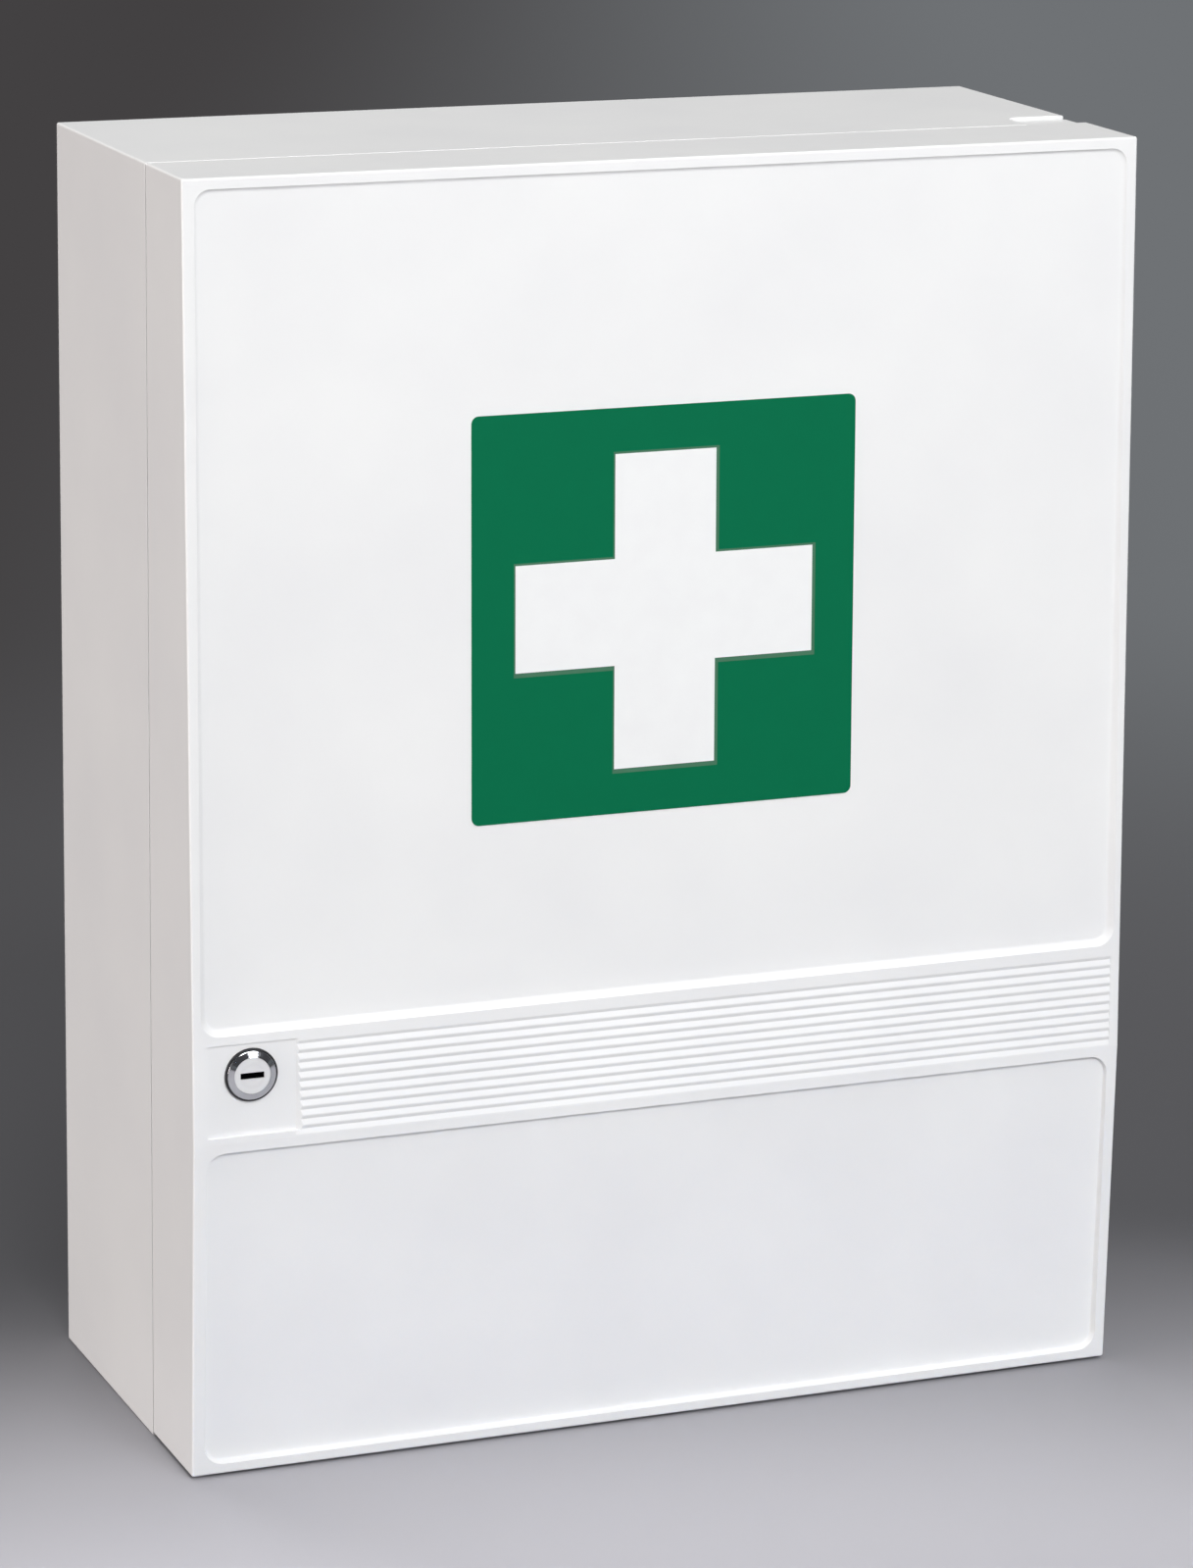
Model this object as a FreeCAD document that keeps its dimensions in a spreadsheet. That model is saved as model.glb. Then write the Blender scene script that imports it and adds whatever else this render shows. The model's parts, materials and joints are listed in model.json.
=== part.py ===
import FreeCAD, Part
import os
import Sketcher

# Wall-hung medicine cabinet: a moulded tub, a deep hinged door, a cam lock, shelves and door trays.
# Frame: x to the right, y towards the wall, z up. The origin is on the standing plane, under the
# middle of the overall width and depth. Every piece is drawn with the wall plane at y = 0, so a depth
# is a distance in front of the wall, and is then shifted by half of the overall depth.

doc = FreeCAD.newDocument("medicine_cabinet")
sheet = doc.addObject("Spreadsheet::Sheet", "dims")

# Driving dimensions in millimetres
driving_sizes = [
    # outer form
    ("width", 370.0),
    ("height", 476.0),
    ("body_depth", 110.6),  # wall plane to the rim of the tub
    ("parting_gap", 0.9),  # open line between tub and door
    ("door_depth", 50.5),  # door's rear edge to the line where its two leaning faces meet
    ("lean_top", 9.0),  # how far the front falls back from that line to the top edge
    ("lean_foot", 3.6),  # how far it falls back from that line to the bottom edge
    ("kink_height", 128.0),  # height of that line
    ("door_lift", 1.2),  # door underside above the standing plane
    ("edge_radius", 0.8),
    ("rim_radius", 0.15),  # edges beside the parting line
    ("overrun", 5.0),  # how far cuts run past what they cut
    ("weld", 1.0),  # how far moulded-on features sink into their wall
    # tub
    ("wall", 3.0),
    ("back_wall", 3.0),
    ("screw_margin_side", 45.0),  # wall screws from the outer faces
    ("screw_margin_top", 74.0),
    ("screw_margin_foot", 62.0),
    ("screw_hole", 6.5),
    ("screw_boss", 18.0),
    ("screw_boss_height", 2.0),
    # shelves
    ("shelf_drop", 22.8),  # lowest shelf's underside below the strike
    ("shelf_plate", 3.0),
    ("shelf_gap", 0.6),  # free space at the sides and the back
    ("shelf_setback", 9.0),  # shelf front behind the rim
    ("shelf_lip", 12.0),
    ("shelf_lip_wall", 2.5),
    ("shelf_corner", 4.0),
    ("ledge_width", 6.0),
    ("ledge_height", 3.0),
    ("ledge_setback", 14.0),  # ledge front behind the rim
    # hinge
    ("axis_inset", 5.0),  # hinge axis from the right face
    ("axis_setback", 13.0),  # hinge axis behind the rim
    ("ear_width", 24.0),
    ("ear_plate", 5.0),
    ("ear_sink", 1.1),  # ears' outer faces below the top and above the foot
    ("ear_root", 8.0),  # how far the ear runs into the door
    ("ear_corner", 4.0),
    ("ear_side_gap", 0.6),
    ("ear_back_gap", 1.4),
    ("ear_face_gap", 0.9),
    ("pocket_wall", 3.0),
    ("pin_diameter", 4.0),
    ("pin_seat", 3.6),  # how far the pin reaches into the ear
    ("pin_end_gap", 0.3),
    ("pin_head_overhang", 1.5),
    ("pin_head_height", 1.5),
    ("running_gap", 0.05),  # radial, pins and barrels in their holes
    ("screw_end_gap", 0.2),  # free space past the tip of a screw
    ("bush_wall", 1.4),
    ("bush_length", 8.0),
    ("bush_flange_overhang", 1.25),
    ("bush_flange_plate", 0.7),
    ("hinge_chamfer", 2.0),  # relief behind the hinge-side wall of the door
    # door shell
    ("door_wall", 3.0),
    ("door_front", 4.8),
    ("upper_recess_high", 0.8),  # panel recess, carried on to the top edge
    ("upper_recess_low", 2.4),  # panel recess, carried on to the kink
    ("lower_recess_high", 1.6),  # the same for the lower panel, at the kink and at the foot
    ("lower_recess_low", 2.6),
    ("panel_margin_top", 4.7),
    ("panel_margin_left", 5.4),
    ("panel_margin_right", 5.0),
    ("panel_margin_foot", 4.6),
    ("upper_corner", 5.0),
    ("lower_corner", 6.5),
    ("upper_blend", 1.8),  # soft inner edge of the upper recess
    ("lower_blend", 0.5),
    ("upper_panel_gap", 6.0),  # upper panel's lower edge above the ribs
    ("lower_panel_head", 4.0),  # lower panel's upper edge below the kink
    # ribbed band
    ("rib_pitch", 3.53),
    ("rib_depth", 0.42),
    ("rib_fall", 1.2),  # lower slope of each crest
    ("rib_land", 0.4),
    ("rib_base", 0.7),  # lowest rib above the kink
    ("rib_overlap", 0.3),  # how far the ribs run into the lock pad
    ("rib_right", 4.0),
    # lock
    ("pad_sink", 1.5),  # pad's face behind the kink
    ("pad_left", 5.6),
    ("pad_width", 33.4),
    ("pad_run", 2.6),  # slope from the pad up to the ribs
    ("pad_foot", 2.2),  # pad's lower edge above the kink
    ("pad_over", 0.6),  # pad's upper edge above the ribs
    ("lock_inset", 22.1),  # lock axis from the left face
    ("lock_rise", 24.8),  # lock axis above the kink
    ("bezel_overhang", 1.2),
    ("bezel_side", 1.4),  # upright outer side of the bezel
    ("bezel_height", 2.1),  # bezel beside the plug
    ("bezel_round", 0.4),
    ("barrel_diameter", 16.0),
    ("barrel_length", 22.0),
    ("plug_shoulder", 1.3),  # plug's face wider than the plug
    ("plug_face_height", 2.4),
    ("plug_diameter", 11.0),
    ("plug_sink", 0.25),  # plug face below the bezel's front
    ("plug_tail", 0.2),  # plug past the end of the barrel
    ("key_slot_length", 9.0),
    ("key_slot_width", 2.3),
    ("key_slot_depth", 9.0),
    ("lock_seat", 5.3),  # door's thickness under the bezel
    ("lock_boss_overhang", 2.0),
    ("lock_washer_overhang", 3.5),
    ("lock_washer_plate", 1.0),
    ("lock_nut_wall", 2.0),
    ("lock_nut_height", 4.0),
    ("square_shank", 6.0),
    ("cam_plate", 2.0),
    ("cam_reach", 17.5),
    ("cam_width", 8.0),
    ("cam_hub", 14.0),
    ("cam_screw_diameter", 3.5),
    ("cam_screw_length", 9.0),
    ("cam_screw_overhang", 2.25),
    ("cam_screw_head_height", 2.4),
    # strike
    ("strike_block", 5.0),  # moulded seat on the left wall
    ("strike_height", 40.0),
    ("strike_below", 26.0),  # strike's lower edge under the lock axis
    ("strike_base", 40.0),  # length of the part on the seat
    ("strike_base_setback", 5.0),  # seat front behind the rim
    ("strike_plate", 1.5),
    ("strike_web", 4.0),  # bar in front of the cam
    ("slot_clearance", 2.2),  # cam to the edges of its slot
    ("slot_below", 20.0),
    ("slot_above", 7.0),
    ("strike_screw_diameter", 3.0),
    ("strike_screw_length", 7.5),
    ("strike_screw_overhang", 1.8),
    ("strike_screw_head_height", 1.8),
    ("strike_screw_pitch", 24.0),
    # door trays
    ("tray_rear_inset", 3.0),  # tray behind the door's rear edge
    ("tray_gap", 0.6),
    ("tray_wall", 2.0),
    ("tray_height", 64.0),
    ("tray_corner", 4.0),
    ("tray_notch", 16.0),
    ("tray_notch_margin", 40.0),
    ("tray_low_rise", 12.8),  # lower tray above the door's underside
    ("tray_middle_rise", 58.0),  # middle tray above the kink
    ("tray_high_drop", 146.0),  # upper tray's floor below the top
    # sign
    ("sign_side", 150.0),
    ("sign_corner", 2.8),
    ("sign_shift", -2.8),  # sign's middle from the middle of the door
    ("sign_lower", 9.25),  # sign's middle below the middle of the upper panel
    ("sign_film", 0.3),
    ("cross_length", 116.5),
    ("cross_arm", 39.5),
    ("cross_film", 0.2),
]

shelf_names = ("shelf_lower", "shelf_middle", "shelf_upper")
rib_count = 10
upper_ramp_angle = 45.0
lower_ramp_angle = 18.0

# Sizes that follow from the driving dimensions
derived_sizes = [
    ("half_width", "=width / 2"),
    ("door_rear", "=body_depth + parting_gap"),
    ("kink_depth", "=door_rear + door_depth"),
    ("top_depth", "=kink_depth - lean_top"),
    ("foot_depth", "=kink_depth - lean_foot"),
    ("pad_depth", "=kink_depth - pad_sink"),
    ("overall_depth", "=pad_depth + bezel_height"),
    ("screw_spacing_x", "=width - 2 * screw_margin_side"),
    ("screw_spacing_z", "=height - screw_margin_top - screw_margin_foot"),
    ("screw_pattern_height", "=screw_margin_foot + screw_spacing_z / 2"),
    ("axis_x", "=half_width - axis_inset"),
    ("axis_depth", "=body_depth - axis_setback"),
    ("ear_back", "=axis_depth - axis_inset"),
    ("recess_back", "=ear_back - ear_back_gap"),
    ("recess_left", "=half_width - ear_width - ear_side_gap"),
    ("ear_top", "=height - ear_sink"),
    ("ear_foot", "=door_lift + ear_sink"),
    ("top_floor", "=ear_top - ear_plate - ear_face_gap"),
    ("foot_floor", "=ear_foot + ear_plate + ear_face_gap"),
    ("upper_rise", "=height - kink_height"),
    ("lower_rise", "=kink_height - door_lift"),
    ("upper_lean", "=atan(lean_top / upper_rise)"),
    ("upper_floor_lean", "=atan((lean_top - upper_recess_low + upper_recess_high) / upper_rise)"),
    ("lower_floor_lean", "=atan((lean_foot - lower_recess_high + lower_recess_low) / lower_rise)"),
    ("rib_band", "=rib_base + %d * rib_pitch" % rib_count),
    ("upper_panel_foot", "=rib_band + upper_panel_gap"),
    ("pad_right", "=pad_left + pad_width"),
    ("pad_head", "=rib_band + pad_over"),
    ("rib_left", "=pad_right - rib_overlap"),
    ("upper_panel_middle", "=(kink_height + upper_panel_foot + height - panel_margin_top) / 2"),
    ("sign_height", "=upper_panel_middle - sign_lower"),
    ("sign_up", "=(sign_height - kink_height) / cos(upper_floor_lean)"),
    ("film_up", "=sign_film * sin(upper_floor_lean)"),
    ("film_out", "=sign_film * cos(upper_floor_lean)"),
    ("lock_x", "=lock_inset - half_width"),
    ("lock_height", "=kink_height + lock_rise"),
    ("lock_boss_depth", "=pad_depth - lock_seat"),
    ("bezel_diameter", "=barrel_diameter + 2 * bezel_overhang"),
    ("plug_face", "=plug_diameter + 2 * plug_shoulder"),
    ("lock_washer", "=barrel_diameter + 2 * lock_washer_overhang"),
    ("lock_boss", "=lock_washer + 2 * lock_boss_overhang"),
    ("lock_nut_flats", "=barrel_diameter + 2 * lock_nut_wall"),
    ("nut_tip", "=lock_nut_flats / sqrt(3)"),
    ("cam_screw_head", "=cam_screw_diameter + 2 * cam_screw_overhang"),
    ("pin_head", "=pin_diameter + 2 * pin_head_overhang"),
    ("bush_diameter", "=pin_diameter + 2 * running_gap + 2 * bush_wall"),
    ("bush_flange", "=bush_diameter + 2 * bush_flange_overhang"),
    ("plug_end", "=pad_depth - barrel_length - plug_tail"),
    ("cam_depth", "=plug_end - cam_plate / 2"),
    ("strike_x", "=wall + strike_block - half_width"),
    ("strike_foot", "=lock_height - strike_below"),
    ("strike_screw_head", "=strike_screw_diameter + 2 * strike_screw_overhang"),
    ("shelf_first", "=strike_foot - shelf_drop"),
    ("shelf_pitch", "=(height - shelf_first) / %d" % len(shelf_names)),
    ("strike_base_front", "=body_depth - strike_base_setback"),
    ("slot_half", "=cam_plate / 2 + slot_clearance"),
    ("strike_front", "=cam_depth + slot_half + strike_web"),
    ("shelf_front", "=body_depth - shelf_setback"),
    ("shelf_back", "=back_wall + shelf_gap"),
    ("tray_low", "=door_lift + tray_low_rise"),
    ("tray_middle", "=kink_height + tray_middle_rise"),
    ("tray_high", "=height - tray_high_drop"),
    ("tray_rear", "=door_rear + tray_rear_inset"),
    ("tray_half", "=half_width - door_wall - tray_gap"),
]


def fill_sheet():
    for row, (alias, content) in enumerate(driving_sizes + derived_sizes, start=1):
        sheet.set("A%d" % row, alias)
        sheet.set("B%d" % row, str(content))
        sheet.setAlias("B%d" % row, alias)
    doc.recompute()


def value(expression):
    result = sheet.evalExpression(expression)
    return getattr(result, "Value", result)


def size(names):
    # a sum of named dimensions, written so that a sketch or a feature can follow it
    words = names.replace("(", " ( ").replace(")", " ) ").split()
    return " ".join("dims." + word if word[0].isalpha() else word for word in words)


# Drawing helpers

def new_body(label):
    body = doc.addObject("PartDesign::Body", label)
    body.Label = label
    body.setExpression("Placement.Base.y", size("overall_depth / 2"))
    return body


def new_sketch(body, name, role, along=("0", "0", "0"), turn_axis=None, turn="0"):
    plane = [feature for feature in body.Origin.OriginFeatures if feature.Role == role][0]
    sketch = body.newObject("Sketcher::SketchObject", name)
    sketch.AttachmentSupport = (plane, [""])
    sketch.MapMode = "FlatFace"
    if turn_axis:
        turned = FreeCAD.Rotation(FreeCAD.Vector(*turn_axis), value(size(turn)))
        sketch.AttachmentOffset = FreeCAD.Placement(FreeCAD.Vector(), turned)
        sketch.setExpression("AttachmentOffset.Rotation.Angle", size(turn))
    for letter, distance in zip("xyz", along):
        sketch.setExpression("AttachmentOffset.Base." + letter, size(distance))
    return sketch


def pin_point(sketch, kind, geometry, point, names):
    # points of a drawn line or arc: 1 is its start, 2 its end, 3 its centre
    place = sketch.addConstraint(Sketcher.Constraint(kind, -1, 1, geometry, point, value(size(names))))
    sketch.setExpression("Constraints[%d]" % place, size(names))


def draw_polygon(sketch, corners):
    points = [FreeCAD.Vector(value(size(x)), value(size(y)), 0) for x, y in corners]
    first = sketch.GeometryCount
    count = len(points)
    for i in range(count):
        sketch.addGeometry(Part.LineSegment(points[i], points[(i + 1) % count]))
    for i in range(count):
        line, following = first + i, first + (i + 1) % count
        sketch.addConstraint(Sketcher.Constraint("Coincident", line, 2, following, 1))
        pin_point(sketch, "DistanceX", line, 1, corners[i][0])
        pin_point(sketch, "DistanceY", line, 1, corners[i][1])


def draw_rounded(sketch, corners, radii):
    # closed outline of level and upright sides, whose corners are sharp or rounded
    points = [FreeCAD.Vector(value(size(x)), value(size(y)), 0) for x, y in corners]
    count = len(points)
    lines = []
    for i in range(count):
        start, end = points[i], points[(i + 1) % count]
        along = (end - start).normalize()
        radius_start = value(size(radii[i])) if radii[i] else 0
        radius_end = value(size(radii[(i + 1) % count])) if radii[(i + 1) % count] else 0
        line = Part.LineSegment(start + along * radius_start, end - along * radius_end)
        lines.append(sketch.addGeometry(line))
        level = abs(along.y) < abs(along.x)
        sketch.addConstraint(Sketcher.Constraint("Horizontal" if level else "Vertical", lines[-1]))
        kind, place = ("DistanceY", corners[i][1]) if level else ("DistanceX", corners[i][0])
        pin_point(sketch, kind, lines[-1], 1, place)
    for i in range(count):
        before, after = lines[i - 1], lines[i]
        if not radii[i]:
            sketch.addConstraint(Sketcher.Constraint("Coincident", before, 2, after, 1))
            continue
        radius = value(size(radii[i]))
        inward = (points[i - 1] - points[i]).normalize()
        onward = (points[(i + 1) % count] - points[i]).normalize()
        centre = points[i] + (inward + onward) * radius
        middle = centre - (inward + onward).normalize() * radius
        bend = Part.Arc(points[i] + inward * radius, middle, points[i] + onward * radius)
        arc = sketch.addGeometry(bend)
        clockwise = inward.cross(onward).z > 0
        sketch.addConstraint(Sketcher.Constraint("Tangent", before, 2, arc, 1 + clockwise))
        sketch.addConstraint(Sketcher.Constraint("Tangent", arc, 2 - clockwise, after, 1))
        place = sketch.addConstraint(Sketcher.Constraint("Radius", arc, radius))
        sketch.setExpression("Constraints[%d]" % place, size(radii[i]))


def draw_rectangle(sketch, left, right, low, high, radius=None):
    corners = [(left, low), (right, low), (right, high), (left, high)]
    draw_rounded(sketch, corners, [radius] * 4)


def draw_circle(sketch, x, y, diameter):
    centre = FreeCAD.Vector(value(size(x)), value(size(y)), 0)
    circle = sketch.addGeometry(Part.Circle(centre, FreeCAD.Vector(0, 0, 1), value(size(diameter)) / 2))
    pin_point(sketch, "DistanceX", circle, 3, x)
    pin_point(sketch, "DistanceY", circle, 3, y)
    place = sketch.addConstraint(Sketcher.Constraint("Diameter", circle, value(size(diameter))))
    sketch.setExpression("Constraints[%d]" % place, size(diameter))


def extrude(body, kind, sketch, length, reverse=False, symmetric=False, taper=None):
    feature = body.newObject("PartDesign::" + kind, sketch.Name + "_" + kind.lower())
    feature.Profile = sketch
    feature.SideType = "Symmetric" if symmetric else "One side"
    feature.Reversed = reverse
    feature.setExpression("Length", size(length))
    if taper is not None:
        feature.TaperAngle = taper
    doc.recompute()
    return feature


def round_edges(body, name, test, radius, kind="Fillet"):
    base = body.Tip
    edges = ["Edge%d" % (i + 1) for i, edge in enumerate(base.Shape.Edges) if test(edge)]
    feature = body.newObject("PartDesign::" + kind, name)
    feature.Base = (base, edges)
    feature.setExpression("Radius" if kind == "Fillet" else "Size", size(radius))
    doc.recompute()
    return feature


def runs_along(edge, axis):
    if edge.Curve.TypeId != "Part::GeomLine":
        return False
    direction = edge.tangentAt(edge.FirstParameter)
    return abs(getattr(direction, axis)) > 1 - Part.Precision.confusion()


def lies_at(edge, axis, names):
    place = value(size(names))
    box = edge.BoundBox
    low, high = getattr(box, axis.upper() + "Min"), getattr(box, axis.upper() + "Max")
    return max(abs(low - place), abs(high - place)) < value(size("rim_radius")) / 4


def revolve_along_depth(label, profile, x, z):
    # turned piece on an axis along the depth: profile points are radius and depth
    body = new_body(label)
    sketch = new_sketch(body, label + "_profile", "YZ_Plane", along=("0", z, x))
    draw_polygon(sketch, [("0 - ( " + depth + " )", radius) for radius, depth in profile])
    turned = body.newObject("PartDesign::Revolution", label + "_turned")
    turned.Profile = sketch
    turned.ReferenceAxis = (sketch, ["H_Axis"])
    doc.recompute()
    return body


# Tub

def hinge_seat(body, name, floor, outer, upwards):
    # block with the recess for the door's ear and the upright hole for the bush
    start = outer + (" + weld" if upwards else " - weld")
    block = new_sketch(body, name + "_block", "XY_Plane", along=("0", "0", start))
    draw_rectangle(block, "recess_left - pocket_wall", "half_width - weld",
                   "weld - body_depth", "pocket_wall - recess_back")
    depth = "%s - %s" % ((floor, outer) if upwards else (outer, floor))
    extrude(body, "Pad", block, depth + " + pocket_wall - weld", reverse=not upwards)
    boss = new_sketch(body, name + "_boss", "XY_Plane", along=("0", "0", floor))
    draw_rectangle(boss, "axis_x - axis_inset", "half_width - weld",
                   "0 - axis_depth - axis_inset", "axis_inset - axis_depth")
    extrude(body, "Pad", boss, "bush_length", reverse=not upwards)
    recess = new_sketch(body, name + "_recess", "XY_Plane", along=("0", "0", floor))
    right, front = "half_width + overrun", "0 - body_depth - overrun"
    corners = [("recess_left", front), (right, front),
               (right, "0 - recess_back"), ("recess_left", "0 - recess_back")]
    draw_rounded(recess, corners, [None, None, None, "ear_corner + ear_side_gap"])
    extrude(body, "Pocket", recess, "ear_sink + ear_plate + ear_face_gap + overrun", reverse=not upwards)
    hole = new_sketch(body, name + "_hole", "XY_Plane", along=("0", "0", floor))
    draw_circle(hole, "axis_x", "0 - axis_depth", "bush_diameter + 2 * running_gap")
    extrude(body, "Pocket", hole, "bush_length + overrun", reverse=upwards)


def make_body_shell():
    body = new_body("body_shell")
    outline = new_sketch(body, "tub_outline", "XZ_Plane")
    draw_rectangle(outline, "0 - half_width", "half_width", "0", "height", "edge_radius")
    extrude(body, "Pad", outline, "body_depth")
    round_edges(body, "tub_back_edges", lambda edge: lies_at(edge, "y", "0"), "edge_radius")
    round_edges(body, "tub_rim_edges", lambda edge: lies_at(edge, "y", "0 - body_depth"), "rim_radius")
    inside = new_sketch(body, "tub_inside", "XZ_Plane", along=("0", "0", "body_depth"))
    draw_rectangle(inside, "wall - half_width", "half_width - wall", "wall", "height - wall", "edge_radius")
    extrude(body, "Pocket", inside, "body_depth - back_wall")

    ledges = new_sketch(body, "shelf_ledges", "XZ_Plane", along=("0", "0", "back_wall - weld"))
    for level in range(len(shelf_names)):
        top = "shelf_first + %d * shelf_pitch" % level
        draw_rectangle(ledges, "wall - weld - half_width", "wall + ledge_width - half_width",
                       top + " - ledge_height", top)
        draw_rectangle(ledges, "half_width - wall - ledge_width", "half_width - wall + weld",
                       top + " - ledge_height", top)
    extrude(body, "Pad", ledges, "body_depth - ledge_setback - back_wall + weld")

    bosses = new_sketch(body, "screw_bosses", "XZ_Plane", along=("0", "0", "back_wall - weld"))
    holes = new_sketch(body, "screw_holes", "XZ_Plane", along=("0", "0", "back_wall + screw_boss_height"))
    for side in ("0 - screw_spacing_x / 2", "screw_spacing_x / 2"):
        for sign in ("-", "+"):
            draw_circle(bosses, side, "screw_pattern_height %s screw_spacing_z / 2" % sign, "screw_boss")
            draw_circle(holes, side, "screw_pattern_height %s screw_spacing_z / 2" % sign, "screw_hole")
    extrude(body, "Pad", bosses, "screw_boss_height + weld")
    extrude(body, "Pocket", holes, "back_wall + screw_boss_height + overrun")

    seat = new_sketch(body, "strike_seat", "XZ_Plane", along=("0", "0", "strike_base_front"))
    draw_rectangle(seat, "wall - weld - half_width", "strike_x",
                   "strike_foot", "strike_foot + strike_height")
    extrude(body, "Pad", seat, "strike_base", reverse=True)
    pilots = new_sketch(body, "strike_pilots", "YZ_Plane", along=("0", "0", "strike_x"))
    for sign in ("-", "+"):
        draw_circle(pilots, "strike_base / 2 - strike_base_front",
                    "strike_foot + strike_height / 2 %s strike_screw_pitch / 2" % sign,
                    "strike_screw_diameter + 2 * running_gap")
    extrude(body, "Pocket", pilots, "strike_screw_length - strike_plate + screw_end_gap")

    hinge_seat(body, "upper_hinge", "top_floor", "height", upwards=False)
    hinge_seat(body, "lower_hinge", "foot_floor", "0", upwards=True)
    return body


def make_shelf(label, level):
    body = new_body(label)
    base = "shelf_first + %d * shelf_pitch" % level
    plate = new_sketch(body, label + "_plate", "XY_Plane", along=("0", "0", base))
    left, right = "wall + shelf_gap - half_width", "half_width - wall - shelf_gap"
    draw_rectangle(plate, left, right, "0 - shelf_front", "0 - shelf_back", "shelf_corner")
    extrude(body, "Pad", plate, "shelf_plate + shelf_lip")
    hollow = new_sketch(body, label + "_top", "XY_Plane", along=("0", "0", base + " + shelf_plate"))
    draw_rectangle(hollow, left + " - overrun", right + " + overrun",
                   "shelf_lip_wall - shelf_front", "overrun - shelf_back")
    extrude(body, "Pocket", hollow, "shelf_lip + overrun", reverse=True)
    return body


# Hinge

def make_hinge_bush(label, floor, upwards):
    body = new_body(label)
    flange = new_sketch(body, label + "_flange", "XY_Plane", along=("0", "0", floor))
    draw_circle(flange, "axis_x", "0 - axis_depth", "bush_flange")
    extrude(body, "Pad", flange, "bush_flange_plate", reverse=upwards)
    sleeve = new_sketch(body, label + "_sleeve", "XY_Plane", along=("0", "0", floor))
    draw_circle(sleeve, "axis_x", "0 - axis_depth", "bush_diameter")
    extrude(body, "Pad", sleeve, "bush_length", reverse=not upwards)
    bore = new_sketch(body, label + "_bore", "XY_Plane", along=("0", "0", floor))
    draw_circle(bore, "axis_x", "0 - axis_depth", "pin_diameter + 2 * running_gap")
    extrude(body, "Pocket", bore, "2 * bush_length + 2 * overrun", symmetric=True)
    return body


def make_hinge_pin(label, floor, upwards):
    body = new_body(label)
    end = floor + (" + bush_length" if upwards else " - bush_length")
    head = new_sketch(body, label + "_head", "XY_Plane", along=("0", "0", end))
    draw_circle(head, "axis_x", "0 - axis_depth", "pin_head")
    extrude(body, "Pad", head, "pin_head_height", reverse=not upwards)
    shank = new_sketch(body, label + "_shank", "XY_Plane", along=("0", "0", end))
    draw_circle(shank, "axis_x", "0 - axis_depth", "pin_diameter")
    extrude(body, "Pad", shank, "bush_length + ear_face_gap + pin_seat", reverse=upwards)
    return body


# Door shell

def panel_sketch(body, name, upper, up="0", out="0"):
    # sketch on the floor of a panel recess: its y runs up the leaning floor, from the kink
    recess = "upper_recess_low" if upper else "lower_recess_high"
    turn = "-1 * upper_floor_lean" if upper else "lower_floor_lean"
    along = ("0", "kink_height + " + up, "kink_depth - %s + %s" % (recess, out))
    return new_sketch(body, name, "XZ_Plane", along=along, turn_axis=(1, 0, 0), turn=turn)


def cut_panel(body, name, upper):
    sketch = panel_sketch(body, name, upper)
    if upper:
        low, high = "upper_panel_foot", "upper_rise - panel_margin_top"
        ramp, blend, corner = upper_ramp_angle, "upper_blend", "upper_corner"
    else:
        low, high = "panel_margin_foot - lower_rise", "0 - lower_panel_head"
        ramp, blend, corner = lower_ramp_angle, "lower_blend", "lower_corner"
    draw_rectangle(sketch, "panel_margin_left - half_width", "half_width - panel_margin_right",
                   low, high, corner)
    extrude(body, "Pocket", sketch, "overrun", reverse=True, taper=ramp)
    floor = sketch.Placement

    def is_on_floor(edge):
        ends = [floor.inverse().multVec(vertex.Point).z for vertex in edge.Vertexes]
        return max(abs(end) for end in ends) < Part.Precision.approximation()

    round_edges(body, name + "_blend", is_on_floor, blend)


def make_door_ear(body, name, outer, upwards):
    ear = new_sketch(body, name, "XY_Plane", along=("0", "0", outer))
    left, front = "half_width - ear_width", "0 - door_rear - ear_root"
    corners = [("half_width", front), ("half_width", "0 - ear_back"),
               (left, "0 - ear_back"), (left, front)]
    draw_rounded(ear, corners, [None, "axis_inset", "ear_corner", None])
    extrude(body, "Pad", ear, "ear_plate", reverse=not upwards)
    out, into = ("-", "+") if upwards else ("+", "-")
    beyond, within = "%s %s overrun" % (outer, out), "%s %s 2 * edge_radius" % (outer, into)
    edge = new_sketch(body, name + "_edge", "XZ_Plane", along=("0", "0", "door_rear"))
    corners = [("half_width + overrun", beyond), ("half_width + overrun", within), ("half_width", within),
               ("half_width", outer), ("half_width - 2 * edge_radius", outer),
               ("half_width - 2 * edge_radius", beyond)]
    draw_rounded(edge, corners, [None, None, None, "edge_radius", None, None])
    extrude(body, "Pocket", edge, "door_rear - ear_back + overrun")
    inner = outer + (" + ear_plate" if upwards else " - ear_plate")
    hole = new_sketch(body, name + "_hole", "XY_Plane", along=("0", "0", inner))
    draw_circle(hole, "axis_x", "0 - axis_depth", "pin_diameter + 2 * running_gap")
    extrude(body, "Pocket", hole, "pin_seat + pin_end_gap", reverse=not upwards)


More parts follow.
